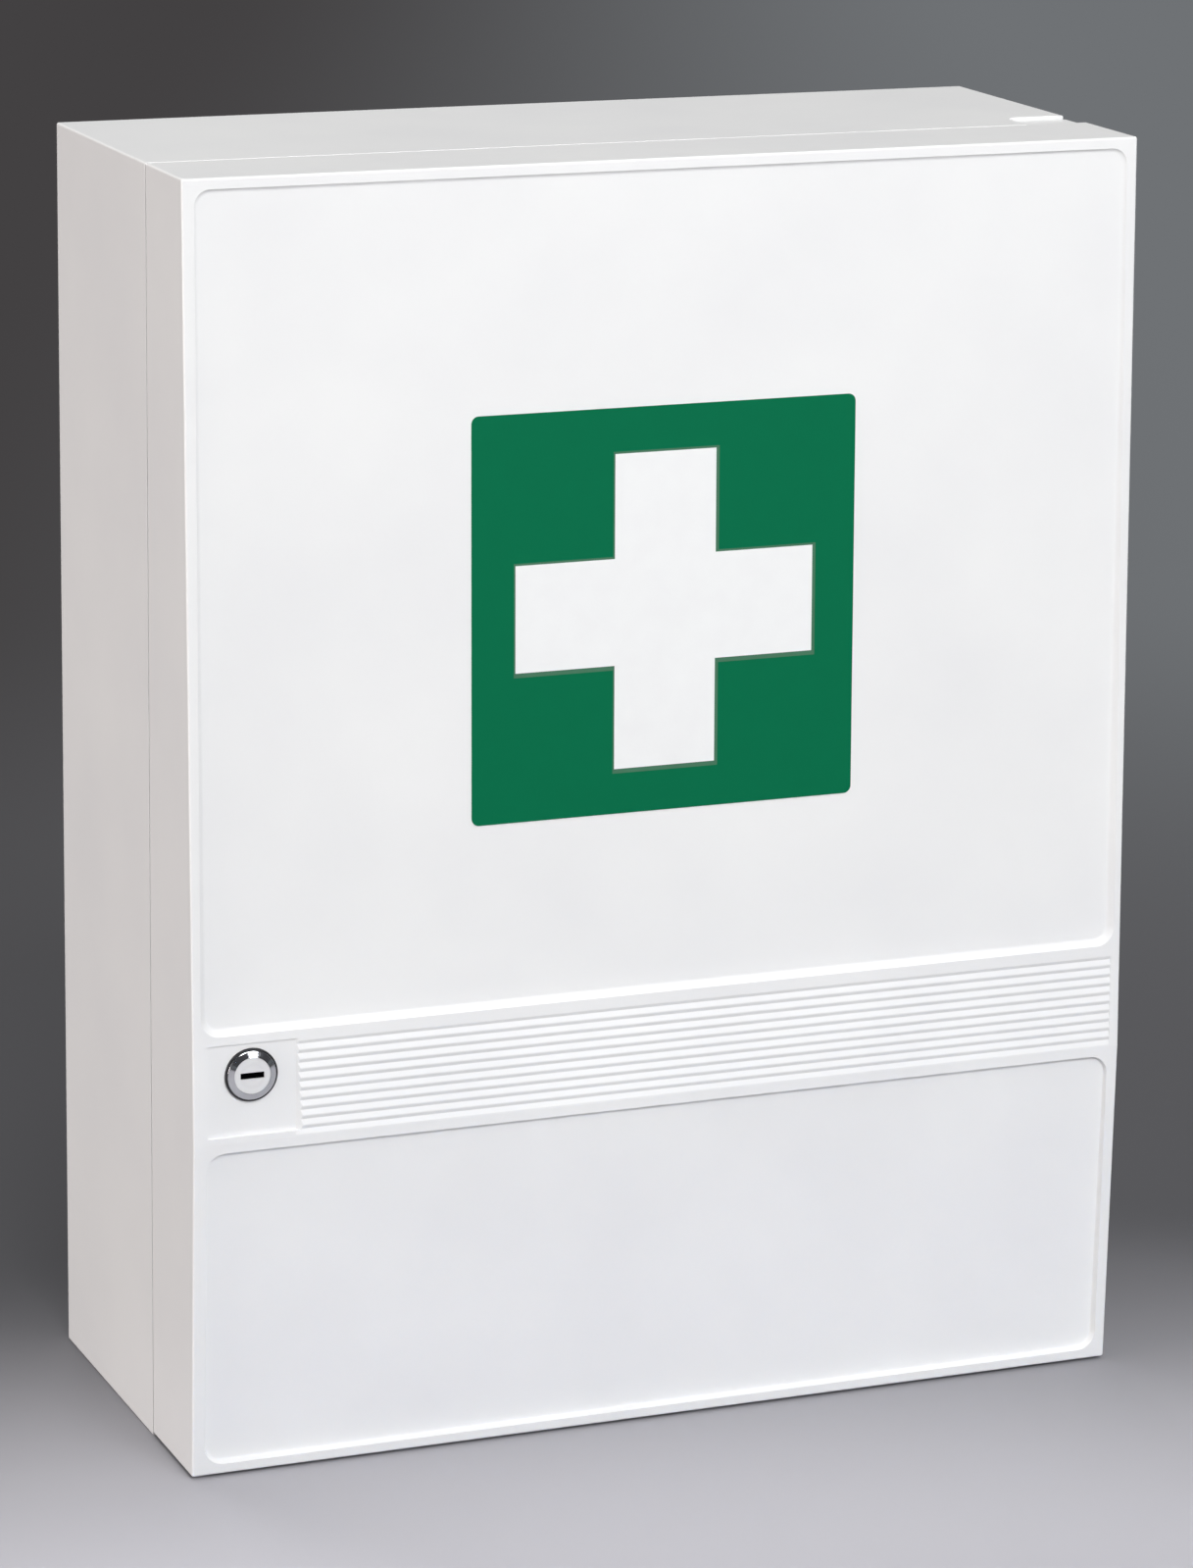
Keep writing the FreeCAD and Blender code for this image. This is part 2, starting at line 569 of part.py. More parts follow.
def make_door_shell():
    body = new_body("door_shell")
    side = new_sketch(body, "door_side", "YZ_Plane")
    draw_polygon(side, [("0 - door_rear", "door_lift"), ("0 - foot_depth", "door_lift"),
                        ("0 - kink_depth", "kink_height"), ("0 - top_depth", "height"),
                        ("0 - door_rear", "height")])
    extrude(body, "Pad", side, "width", symmetric=True)
    round_edges(body, "door_depth_edges", lambda edge: runs_along(edge, "y"), "edge_radius")
    rear = "0 - door_rear"
    round_edges(body, "door_rear_edges", lambda edge: lies_at(edge, "y", rear), "rim_radius")

    def is_front(edge):
        inner_reach = value(size("0 - door_rear - ear_root"))
        along_kink = runs_along(edge, "x") and lies_at(edge, "z", "kink_height")
        return edge.BoundBox.YMax < inner_reach and not along_kink

    round_edges(body, "door_front_edges", is_front, "edge_radius")
    hollow = new_sketch(body, "door_hollow", "YZ_Plane")
    draw_polygon(hollow, [("overrun - door_rear", "door_lift + door_wall"),
                          ("door_front - foot_depth", "door_lift + door_wall"),
                          ("door_front - kink_depth", "kink_height"),
                          ("door_front - top_depth", "height - door_wall"),
                          ("overrun - door_rear", "height - door_wall")])
    extrude(body, "Pocket", hollow, "width - 2 * door_wall", symmetric=True)

    def is_hinge_side(edge):
        inner = lies_at(edge, "x", "half_width - door_wall")
        return inner and runs_along(edge, "z") and lies_at(edge, "y", rear)

    round_edges(body, "hinge_relief", is_hinge_side, "hinge_chamfer", kind="Chamfer")
    cut_panel(body, "upper_panel", upper=True)
    cut_panel(body, "lower_panel", upper=False)

    rib_start = ("0 - kink_depth", "kink_height", "rib_left - half_width")
    rib = new_sketch(body, "rib", "YZ_Plane", along=rib_start, turn_axis=(0, 0, 1), turn="-1 * upper_lean")
    crest = "rib_base + rib_pitch - rib_land"
    draw_polygon(rib, [("0", "rib_base"), ("rib_depth", crest + " - rib_fall"), ("0", crest),
                       ("0 - overrun", crest), ("0 - overrun", "rib_base")])
    groove = extrude(body, "Pocket", rib, "width - rib_left - rib_right", reverse=True)
    band = body.newObject("PartDesign::LinearPattern", "rib_band")
    band.Originals = [groove]
    band.Direction = (rib, ["V_Axis"])
    band.Occurrences = rib_count
    band.setExpression("Length", size("rib_pitch * %d" % (rib_count - 1)))
    body.Tip = band
    doc.recompute()

    pad = new_sketch(body, "lock_pad", "XZ_Plane", along=("0", "0", "pad_depth"))
    draw_rectangle(pad, "pad_left - half_width", "pad_right - half_width",
                   "kink_height + pad_foot", "kink_height + pad_head")
    extrude(body, "Pocket", pad, "overrun", reverse=True)
    run = new_sketch(body, "lock_pad_run", "XY_Plane", along=("0", "0", "kink_height + pad_foot"))
    start, end = "pad_right - half_width", "pad_right - half_width + pad_run"
    draw_polygon(run, [(start, "0 - pad_depth"), (end, "0 - kink_depth"),
                       (end, "0 - kink_depth - overrun"), (start, "0 - kink_depth - overrun")])
    extrude(body, "Pocket", run, "pad_head - pad_foot", reverse=True)
    boss = new_sketch(body, "lock_boss_face", "XZ_Plane", along=("0", "0", "lock_boss_depth"))
    draw_circle(boss, "lock_x", "lock_height", "lock_boss")
    extrude(body, "Pad", boss, "(pad_depth - lock_boss_depth) / 2")
    hole = new_sketch(body, "lock_hole", "XZ_Plane", along=("0", "0", "pad_depth + overrun"))
    draw_circle(hole, "lock_x", "lock_height", "barrel_diameter + 2 * running_gap")
    extrude(body, "Pocket", hole, "2 * overrun + pad_depth - lock_boss_depth")

    ledges = new_sketch(body, "tray_ledges", "XZ_Plane", along=("0", "0", "tray_rear"))
    for floor in ("tray_low", "tray_middle", "tray_high"):
        draw_rectangle(ledges, "door_wall - weld - half_width", "door_wall + ledge_width - half_width",
                       floor + " - ledge_height", floor)
        draw_rectangle(ledges, "half_width - door_wall - ledge_width", "half_width - door_wall + weld",
                       floor + " - ledge_height", floor)
    extrude(body, "Pad", ledges, "top_depth - door_front - tray_rear - tray_rear_inset")
    make_door_ear(body, "upper_ear", "ear_top", upwards=False)
    make_door_ear(body, "lower_ear", "ear_foot", upwards=True)
    return body


def make_tray(label, floor, front):
    body = new_body(label)
    block = new_sketch(body, label + "_block", "XY_Plane", along=("0", "0", floor))
    draw_rectangle(block, "0 - tray_half", "tray_half",
                   "0 - ( " + front + " )", "0 - tray_rear", "tray_corner")
    extrude(body, "Pad", block, "tray_height")
    hollow = new_sketch(body, label + "_hollow", "XY_Plane", along=("0", "0", floor + " + tray_height"))
    draw_rectangle(hollow, "tray_wall - tray_half", "tray_half - tray_wall",
                   "tray_wall - ( " + front + " )", "0 - tray_rear - tray_wall", "tray_corner - tray_wall")
    extrude(body, "Pocket", hollow, "tray_height - tray_wall")
    notch = new_sketch(body, label + "_notch", "XZ_Plane", along=("0", "0", "tray_rear - overrun"))
    edge = floor + " + tray_height"
    corners = [("tray_notch_margin - tray_half", edge + " - tray_notch"),
               ("tray_half - tray_notch_margin", edge + " - tray_notch"),
               ("tray_half - tray_notch_margin", edge + " + overrun"),
               ("tray_notch_margin - tray_half", edge + " + overrun")]
    draw_rounded(notch, corners, ["tray_corner", "tray_corner", None, None])
    extrude(body, "Pocket", notch, "2 * overrun", reverse=True)
    return body


# Sign

def make_sign_field():
    body = new_body("sign_field")
    film = panel_sketch(body, "sign_outline", upper=True)
    draw_rectangle(film, "sign_shift - sign_side / 2", "sign_shift + sign_side / 2",
                   "sign_up - sign_side / 2", "sign_up + sign_side / 2", "sign_corner")
    extrude(body, "Pad", film, "sign_film")
    return body


def make_sign_cross():
    body = new_body("sign_cross")
    arms = (("upright", "cross_arm", "cross_length"), ("level", "cross_length", "cross_arm"))
    for name, across, along in arms:
        film = panel_sketch(body, "cross_" + name, upper=True, up="film_up", out="film_out")
        draw_rectangle(film, "sign_shift - %s / 2" % across, "sign_shift + %s / 2" % across,
                       "sign_up - %s / 2" % along, "sign_up + %s / 2" % along)
        extrude(body, "Pad", film, "cross_film")
    return body


# Lock

def make_lock_housing():
    front, rear = "pad_depth + bezel_height", "pad_depth - barrel_length"
    step = front + " - plug_sink - plug_face_height - 2 * running_gap"
    bore, seat = "plug_diameter / 2 + running_gap", "plug_face / 2 + running_gap"
    body = revolve_along_depth("lock_housing", [
        (bore, rear), ("barrel_diameter / 2", rear), ("barrel_diameter / 2", "pad_depth"),
        ("bezel_diameter / 2", "pad_depth"), ("bezel_diameter / 2", "pad_depth + bezel_side"),
        (seat, front), (seat, step), (bore, step)], "lock_x", "lock_height")

    def is_front_rim(edge):
        if edge.Curve.TypeId != "Part::GeomCircle":
            return False
        outer = edge.Curve.Radius > value(size("barrel_diameter / 2"))
        return outer and lies_at(edge, "y", "0 - pad_depth - bezel_side")

    round_edges(body, "bezel_round_edge", is_front_rim, "bezel_round")
    return body


def make_lock_plug():
    front = "pad_depth + bezel_height - plug_sink"
    body = revolve_along_depth("lock_plug", [
        ("0", "plug_end"), ("plug_diameter / 2", "plug_end"),
        ("plug_diameter / 2", front + " - plug_face_height"),
        ("plug_face / 2", front + " - plug_face_height"), ("plug_face / 2", front), ("0", front)],
        "lock_x", "lock_height")
    slot = new_sketch(body, "key_slot", "XZ_Plane", along=("lock_x", "lock_height", front))
    draw_rectangle(slot, "0 - key_slot_length / 2", "key_slot_length / 2",
                   "0 - key_slot_width / 2", "key_slot_width / 2")
    extrude(body, "Pocket", slot, "key_slot_depth")
    shank = new_sketch(body, "square_end", "XZ_Plane", along=("lock_x", "lock_height", "plug_end"))
    half = "square_shank / 2"
    draw_rectangle(shank, "0 - " + half, half, "0 - " + half, half)
    extrude(body, "Pad", shank, "cam_plate - running_gap", reverse=True)
    tail = "plug_end - cam_plate"
    hole = new_sketch(body, "cam_screw_hole", "XZ_Plane", along=("lock_x", "lock_height", tail))
    draw_circle(hole, "0", "0", "cam_screw_diameter + 2 * running_gap")
    extrude(body, "Pocket", hole, "cam_screw_length + screw_end_gap", reverse=True)
    return body


def make_lock_washer():
    body = new_body("lock_washer")
    ring = new_sketch(body, "washer_ring", "XZ_Plane", along=("lock_x", "lock_height", "lock_boss_depth"))
    draw_circle(ring, "0", "0", "lock_washer")
    draw_circle(ring, "0", "0", "barrel_diameter + 2 * running_gap")
    extrude(body, "Pad", ring, "lock_washer_plate", reverse=True)
    return body


def make_lock_nut():
    body = new_body("lock_nut")
    front = "lock_boss_depth - lock_washer_plate"
    hexagon = new_sketch(body, "nut_outline", "XZ_Plane", along=("lock_x", "lock_height", front))
    flat, point = "lock_nut_flats / 2", "nut_tip / 2"
    draw_polygon(hexagon, [(flat, "0 - " + point), (flat, point), ("0", "nut_tip"), ("0 - " + flat, point),
                           ("0 - " + flat, "0 - " + point), ("0", "0 - nut_tip")])
    draw_circle(hexagon, "0", "0", "barrel_diameter + 2 * running_gap")
    extrude(body, "Pad", hexagon, "lock_nut_height", reverse=True)
    return body


def make_lock_cam():
    # points down while unlocked: a quarter turn brings it behind the strike
    body = new_body("lock_cam")
    arm = new_sketch(body, "cam_arm", "XZ_Plane", along=("lock_x", "lock_height", "plug_end"))
    half = "cam_width / 2"
    corners = [("0 - " + half, "0 - cam_reach"), (half, "0 - cam_reach"), (half, "0"), ("0 - " + half, "0")]
    draw_rounded(arm, corners, [half + " / 2", half + " / 2", None, None])
    extrude(body, "Pad", arm, "cam_plate", reverse=True)
    hub = new_sketch(body, "cam_hub_outline", "XZ_Plane", along=("lock_x", "lock_height", "plug_end"))
    draw_circle(hub, "0", "0", "cam_hub")
    extrude(body, "Pad", hub, "cam_plate", reverse=True)
    square = new_sketch(body, "cam_square", "XZ_Plane", along=("lock_x", "lock_height", "plug_end + overrun"))
    side = "square_shank / 2 + running_gap"
    draw_rectangle(square, "0 - ( " + side + " )", side, "0 - ( " + side + " )", side)
    extrude(body, "Pocket", square, "cam_plate + 2 * overrun")
    return body


def make_cam_screw():
    seat = "plug_end - cam_plate"
    body = revolve_along_depth("cam_screw", [
        ("0", seat + " - cam_screw_head_height"), ("cam_screw_head / 2", seat + " - cam_screw_head_height"),
        ("cam_screw_head / 2", seat), ("cam_screw_diameter / 2", seat),
        ("cam_screw_diameter / 2", seat + " + cam_screw_length"), ("0", seat + " + cam_screw_length")],
        "lock_x", "lock_height")
    return body


# Strike

def make_strike_plate():
    body = new_body("strike_plate")
    plate = new_sketch(body, "strike_outline", "YZ_Plane", along=("0", "0", "strike_x"))
    draw_rectangle(plate, "0 - strike_front", "strike_base - strike_base_front",
                   "strike_foot", "strike_foot + strike_height", "strike_web / 2")
    draw_rectangle(plate, "0 - cam_depth - slot_half", "slot_half - cam_depth",
                   "lock_height - slot_below", "lock_height + slot_above")
    for sign in ("-", "+"):
        draw_circle(plate, "strike_base / 2 - strike_base_front",
                    "strike_foot + strike_height / 2 %s strike_screw_pitch / 2" % sign,
                    "strike_screw_diameter + 2 * running_gap")
    extrude(body, "Pad", plate, "strike_plate")
    return body


def make_strike_screws():
    # two equal pan-head screws in one node
    screws = []
    for i, sign in enumerate(("-", "+")):
        height = "strike_foot + strike_height / 2 %s strike_screw_pitch / 2" % sign
        head = doc.addObject("Part::Cylinder", "strike_head_%d" % i)
        head.setExpression("Radius", size("strike_screw_head / 2"))
        head.setExpression("Height", size("strike_screw_head_height"))
        shank = doc.addObject("Part::Cylinder", "strike_shank_%d" % i)
        shank.setExpression("Radius", size("strike_screw_diameter / 2"))
        shank.setExpression("Height", size("strike_screw_length"))
        starts = {head: "strike_x + strike_plate", shank: "strike_x + strike_plate - strike_screw_length"}
        for piece, start in starts.items():
            piece.Placement.Rotation = FreeCAD.Rotation(FreeCAD.Vector(0, 1, 0), 90)
            piece.setExpression("Placement.Base.x", size(start))
            piece.setExpression("Placement.Base.y", size("strike_base / 2 - strike_base_front"))
            piece.setExpression("Placement.Base.z", size(height))
        screw = doc.addObject("Part::Fuse", "strike_screw_%d" % i)
        screw.Base, screw.Tool = head, shank
        screws.append(screw)
    group = doc.addObject("Part::Compound", "strike_screws")
    group.Label = "strike_screws"
    group.Links = screws
    group.setExpression("Placement.Base.y", size("overall_depth / 2"))
    return group


def make_all():
    fill_sheet()
    pieces = [make_body_shell(), make_strike_plate(), make_strike_screws()]
    for level, label in enumerate(shelf_names):
        pieces.append(make_shelf(label, level))
    for label, floor, upwards in (("upper", "top_floor", False), ("lower", "foot_floor", True)):
        pieces.append(make_hinge_bush("hinge_bush_" + label, floor, upwards))
        pieces.append(make_hinge_pin("hinge_pin_" + label, floor, upwards))
    pieces.append(make_door_shell())
    leaning_front = ("kink_depth - door_front - tray_gap"
                     " - ( %s + tray_height - kink_height ) * lean_top / upper_rise")
    foot_front = "foot_depth - door_front - tray_gap + tray_low_rise * lean_foot / lower_rise"
    pieces.append(make_tray("door_tray_lower", "tray_low", foot_front))
    pieces.append(make_tray("door_tray_middle", "tray_middle", leaning_front % "tray_middle"))
    pieces.append(make_tray("door_tray_upper", "tray_high", leaning_front % "tray_high"))
    pieces += [make_sign_field(), make_sign_cross()]
    pieces += [make_lock_housing(), make_lock_washer(), make_lock_nut()]
    pieces += [make_lock_plug(), make_lock_cam(), make_cam_screw()]
    doc.recompute()
    return pieces


def check_and_write(pieces):
    for item in doc.Objects:
        if "Invalid" in item.State or "Error" in item.State:
            raise RuntimeError("%s failed: %s" % (item.Name, item.State))
    for piece in pieces:
        if piece.Shape.isNull() or not piece.Shape.isValid() or not piece.Shape.Solids:
            raise RuntimeError("%s has no sound solid" % piece.Label)
    os.makedirs("parts", exist_ok=True)
    for piece in pieces:
        piece.Shape.exportStep("parts/%s.step" % piece.Label)
        box = piece.Shape.BoundBox
        print("%-18s %2d solid(s) %10.1f mm3  x %.1f..%.1f  y %.1f..%.1f  z %.1f..%.1f" % (
            piece.Label, len(piece.Shape.Solids), piece.Shape.Volume,
            box.XMin, box.XMax, box.YMin, box.YMax, box.ZMin, box.ZMax))


check_and_write(make_all())
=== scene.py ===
import json
import math

import bmesh
import bpy
from mathutils import Matrix, Vector

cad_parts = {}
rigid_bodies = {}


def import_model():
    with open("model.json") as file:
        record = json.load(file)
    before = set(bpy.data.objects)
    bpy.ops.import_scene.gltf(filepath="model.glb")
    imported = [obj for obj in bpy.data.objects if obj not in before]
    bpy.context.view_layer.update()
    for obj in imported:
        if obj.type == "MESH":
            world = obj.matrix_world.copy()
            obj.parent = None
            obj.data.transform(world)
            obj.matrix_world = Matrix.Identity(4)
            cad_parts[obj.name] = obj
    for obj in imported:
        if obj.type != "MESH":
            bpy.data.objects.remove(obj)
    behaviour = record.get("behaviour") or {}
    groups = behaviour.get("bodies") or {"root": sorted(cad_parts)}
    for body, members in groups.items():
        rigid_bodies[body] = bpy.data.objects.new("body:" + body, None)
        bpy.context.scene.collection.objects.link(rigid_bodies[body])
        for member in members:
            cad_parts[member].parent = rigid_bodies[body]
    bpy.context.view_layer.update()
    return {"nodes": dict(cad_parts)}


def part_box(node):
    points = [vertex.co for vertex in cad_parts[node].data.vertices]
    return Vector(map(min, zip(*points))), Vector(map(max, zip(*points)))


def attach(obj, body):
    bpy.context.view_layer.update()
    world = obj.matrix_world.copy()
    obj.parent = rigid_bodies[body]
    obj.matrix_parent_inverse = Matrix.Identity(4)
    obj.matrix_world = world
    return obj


# empty the start-up file, then bring in the cabinet
for thing in list(bpy.data.objects):
    bpy.data.objects.remove(thing, do_unlink=True)
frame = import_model()
cabinet = frame["nodes"]
mm = 0.001
print("cabinet loaded:", len(cabinet), "pieces")


def fromHex(code):
    # sRGB hex to the linear colour that the shaders use
    levels = [int(code[i:i + 2], 16) / 255 for i in (1, 3, 5)]
    return [v / 12.92 if v <= 0.04045 else ((v + 0.055) / 1.055) ** 2.4 for v in levels] + [1.0]


def addNode(tree, kind, settings=None, links=None):
    # capitalised or numbered settings are sockets, the others are the node's own properties;
    # a mix node's sockets 6 and 7 are its two colours, and its output 2 is the mixed one
    node = tree.nodes.new(kind)
    for key, setting in (settings or {}).items():
        if isinstance(key, int) or key[0].isupper():
            node.inputs[key].default_value = setting
        else:
            setattr(node, key, setting)
    for key, source in (links or {}).items():
        tree.links.new(source, node.inputs[key])
    return node


def startMaterial(name):
    material = bpy.data.materials.new(name)
    material.use_nodes = True
    tree = material.node_tree
    tree.nodes.clear()
    place = addNode(tree, "ShaderNodeTexCoord").outputs["Object"]
    return material, tree, place


def endMaterial(material, tree, shader):
    addNode(tree, "ShaderNodeOutputMaterial", links={"Surface": shader.outputs[0]})
    return material


def perMetre(millimetres):
    # texture scale that gives features of this size
    return 1 / (millimetres * mm)


cloudSpan = {"From Min": 0.3, "From Max": 0.7}  # a cloudy pattern hardly leaves this span

absLook = {
    "colours": ("#eeeeee", "#f3f3f2"),  # where the resin flowed thin, and its full white
    "flow": {"Scale": perMetre(70), "Detail": 3.0},
    # the mould's own grain is about 0.3 mm; drawn near 1 mm so that it shows
    "grain": {"Scale": perMetre(1.1), "Detail": 2.0, "Roughness": 0.6},
    "grainRelief": {"Strength": 0.012, "Distance": 0.05 * mm},
    "warp": {"Scale": perMetre(45), "Detail": 1.0},
    "warpRelief": {"Strength": 0.08, "Distance": 0.4 * mm},
    "gloss": {**cloudSpan, "To Min": 0.29, "To Max": 0.34},
    "skin": {"IOR": 1.53},
}


def absMoulded():
    # ABS from a spark-eroded mould: a clean white with a fine even grain, soft wide highlights
    # and a very slight unevenness over the big flat walls
    look = absLook
    thin, full = (fromHex(code) for code in look["colours"])
    material, tree, place = startMaterial("ABS_moulded_satin_white")
    flow = addNode(tree, "ShaderNodeTexNoise", look["flow"], {"Vector": place})
    spread = addNode(tree, "ShaderNodeMapRange", cloudSpan, {"Value": flow.outputs["Fac"]})
    tint = addNode(tree, "ShaderNodeMix", {"data_type": "RGBA", 6: thin, 7: full},
                   {"Factor": spread.outputs["Result"]})
    grain = addNode(tree, "ShaderNodeTexNoise", look["grain"], {"Vector": place})
    gloss = addNode(tree, "ShaderNodeMapRange", look["gloss"], {"Value": grain.outputs["Fac"]})
    warp = addNode(tree, "ShaderNodeTexNoise", look["warp"], {"Vector": place})
    longWave = addNode(tree, "ShaderNodeBump", look["warpRelief"], {"Height": warp.outputs["Fac"]})
    fineGrain = addNode(tree, "ShaderNodeBump", look["grainRelief"],
                        {"Height": grain.outputs["Fac"], "Normal": longWave.outputs["Normal"]})
    shader = addNode(tree, "ShaderNodeBsdfPrincipled", look["skin"],
                     {"Base Color": tint.outputs[2], "Roughness": gloss.outputs["Result"],
                      "Normal": fineGrain.outputs["Normal"]})
    return endMaterial(material, tree, shader)


styreneLook = {
    "shelf": ("#ececea", "#e4e4e2"), "tray": ("#e9ecee", "#dfe3e6"),
    "flow": {"Scale": perMetre(30), "Detail": 4.0, "Distortion": 0.6},
    "flowStretch": {"Scale": (0.25, 1.0, 1.0)},
    # a blasted mould's grit is near 0.2 mm; drawn coarser so that it shows
    "grain": {"Scale": perMetre(0.9), "Detail": 2.0},
    "grainRelief": {"Strength": 0.08, "Distance": 0.1 * mm},
    "skin": {"IOR": 1.59, "Roughness": 0.5, "Subsurface Weight": 0.12,
             "Subsurface Radius": [1.5 * mm] * 3, "Subsurface Scale": 1.0},
}


def styreneMoulded(name, colours):
    # polystyrene from a blasted mould: matt, a little milky, with faint flow lines
    look = styreneLook
    pale, deep = (fromHex(code) for code in colours)
    material, tree, place = startMaterial(name)
    stretched = addNode(tree, "ShaderNodeMapping", look["flowStretch"], {"Vector": place})
    flow = addNode(tree, "ShaderNodeTexNoise", look["flow"], {"Vector": stretched.outputs["Vector"]})
    tint = addNode(tree, "ShaderNodeMix", {"data_type": "RGBA", 6: pale, 7: deep},
                   {"Factor": flow.outputs["Fac"]})
    grain = addNode(tree, "ShaderNodeTexNoise", look["grain"], {"Vector": place})
    relief = addNode(tree, "ShaderNodeBump", look["grainRelief"], {"Height": grain.outputs["Fac"]})
    shader = addNode(tree, "ShaderNodeBsdfPrincipled", look["skin"],
                     {"Base Color": tint.outputs[2], "Normal": relief.outputs["Normal"]})
    return endMaterial(material, tree, shader)


filmLook = {
    "green": ("#0a6e49", "#0a6b47"), "white": ("#f4f5f4", "#efefef"), "line": ("#4d7d62", "#476f58"),
    "mottle": {"Scale": perMetre(9), "Detail": 5.0},
    "peel": {"Scale": perMetre(2.2), "Detail": 1.0},
    "peelRelief": {"Strength": 0.05, "Distance": 0.05 * mm},
    "skin": {"IOR": 1.54, "Roughness": 0.45, "Specular IOR Level": 0.03},
}


def vinylPrinted(name, colours):
    # printed vinyl film: even ink with a faint mottle, nearly matt, with a slight orange peel
    look = filmLook
    ink, mottled = (fromHex(code) for code in colours)
    material, tree, place = startMaterial(name)
    mottle = addNode(tree, "ShaderNodeTexNoise", look["mottle"], {"Vector": place})
    tint = addNode(tree, "ShaderNodeMix", {"data_type": "RGBA", 6: ink, 7: mottled},
                   {"Factor": mottle.outputs["Fac"]})
    peel = addNode(tree, "ShaderNodeTexNoise", look["peel"], {"Vector": place})
    relief = addNode(tree, "ShaderNodeBump", look["peelRelief"], {"Height": peel.outputs["Fac"]})
    shader = addNode(tree, "ShaderNodeBsdfPrincipled", look["skin"],
                     {"Base Color": tint.outputs[2], "Normal": relief.outputs["Normal"]})
    return endMaterial(material, tree, shader)


metalLook = {
    # two tones, roughness span, size of the surface's marks in mm and how they are drawn out
    "chrome": {"colours": ("#d6d7d9", "#c6c8cb"), "rough": (0.05, 0.11), "marks": 1.4, "drawn": (1, 1, 1)},
    "zinc": {"colours": ("#c4c8cc", "#b3b6b4"), "rough": (0.28, 0.42), "marks": 2.5, "drawn": (1, 1, 1)},
    "turned": {"colours": ("#b8b8ba", "#a9a9ab"), "rough": (0.2, 0.34), "marks": 0.8,
               "drawn": (0.1, 0.1, 1)},
    "pattern": {"Detail": 4.0, "Roughness": 0.6},
    "relief": {"Strength": 0.04, "Distance": 0.03 * mm},
}


def metalFinished(name, kind):
    # bare or plated metal: a clear reflection, broken by small marks that vary its gloss
    look = metalLook[kind]
    bright, dull = (fromHex(code) for code in look["colours"])
    smooth, rough = look["rough"]
    material, tree, place = startMaterial(name)
    drawn = addNode(tree, "ShaderNodeMapping", {"Scale": look["drawn"]}, {"Vector": place})
    marks = addNode(tree, "ShaderNodeTexNoise", {"Scale": perMetre(look["marks"]), **metalLook["pattern"]},
                    {"Vector": drawn.outputs["Vector"]})
    tint = addNode(tree, "ShaderNodeMix", {"data_type": "RGBA", 6: bright, 7: dull},
                   {"Factor": marks.outputs["Fac"]})
    gloss = addNode(tree, "ShaderNodeMapRange", {**cloudSpan, "To Min": smooth, "To Max": rough},
                    {"Value": marks.outputs["Fac"]})
    relief = addNode(tree, "ShaderNodeBump", metalLook["relief"], {"Height": marks.outputs["Fac"]})
    shader = addNode(tree, "ShaderNodeBsdfPrincipled", {"Metallic": 1.0},
                     {"Base Color": tint.outputs[2], "Roughness": gloss.outputs["Result"],
                      "Normal": relief.outputs["Normal"]})
    return endMaterial(material, tree, shader)


plugLook = {
    # the second colour is painted shade: near-black on the key slot's walls behind the face
    "face": "#f0f0ef", "paintedSlotShade": "#17151c",
    "slotStart": 0.65,  # mm from the face back to where the key slot's painted shade begins
    # turned rings are finer than this; drawn coarser so that they show
    "ringPitch": 2.83, "ringWander": 0.3,
    "ringRelief": {"Strength": 0.05, "Distance": 0.02 * mm},
    "gloss": {"To Min": 0.66, "To Max": 0.78},
}
wavePeriod = 2 * math.pi / 20  # of a wave texture at scale 1


def plugTurned():
    # satin chrome over a turned face: fine rings round the lock's axis, and a key slot whose walls are
    # painted near-black as painted shade
    look = plugLook
    low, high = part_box("lock_plug")
    material, tree, place = startMaterial("Chrome_satin_turned_plug")
    centred = addNode(tree, "ShaderNodeMapping",
                      {"Location": (-(low.x + high.x) / 2, 0.0, -(low.z + high.z) / 2)}, {"Vector": place})
    rings = addNode(tree, "ShaderNodeTexWave",
                    {"wave_type": "RINGS", "rings_direction": "Y", "Distortion": look["ringWander"],
                     "Scale": perMetre(look["ringPitch"]) * wavePeriod},
                    {"Vector": centred.outputs["Vector"]})
    gloss = addNode(tree, "ShaderNodeMapRange", look["gloss"], {"Value": rings.outputs["Fac"]})
    relief = addNode(tree, "ShaderNodeBump", look["ringRelief"], {"Height": rings.outputs["Fac"]})
    along = addNode(tree, "ShaderNodeSeparateXYZ", links={"Vector": place})
    # deeper than this the slot's walls are painted near-black: painted shade
    slotStart = low.y + look["slotStart"] * mm
    paintedShadeMask = addNode(tree, "ShaderNodeMath", {"operation": "GREATER_THAN", 1: slotStart},
                     {0: along.outputs["Y"]})
    tint = addNode(tree, "ShaderNodeMix",
                   {"data_type": "RGBA", 6: fromHex(look["face"]), 7: fromHex(look["paintedSlotShade"])},
                   {"Factor": paintedShadeMask.outputs[0]})
    shader = addNode(tree, "ShaderNodeBsdfPrincipled", {"Metallic": 1.0},
                     {"Base Color": tint.outputs[2], "Roughness": gloss.outputs["Result"],
                      "Normal": relief.outputs["Normal"]})
    return endMaterial(material, tree, shader)


nylonLook = {
    "colours": ("#dedbd0", "#d2cec1"), "cloud": {"Scale": perMetre(3)},
    "gloss": {"To Min": 0.36, "To Max": 0.48},
    "skin": {"IOR": 1.53, "Subsurface Weight": 0.3, "Subsurface Radius": [2 * mm] * 3,
             "Subsurface Scale": 1.0},
}


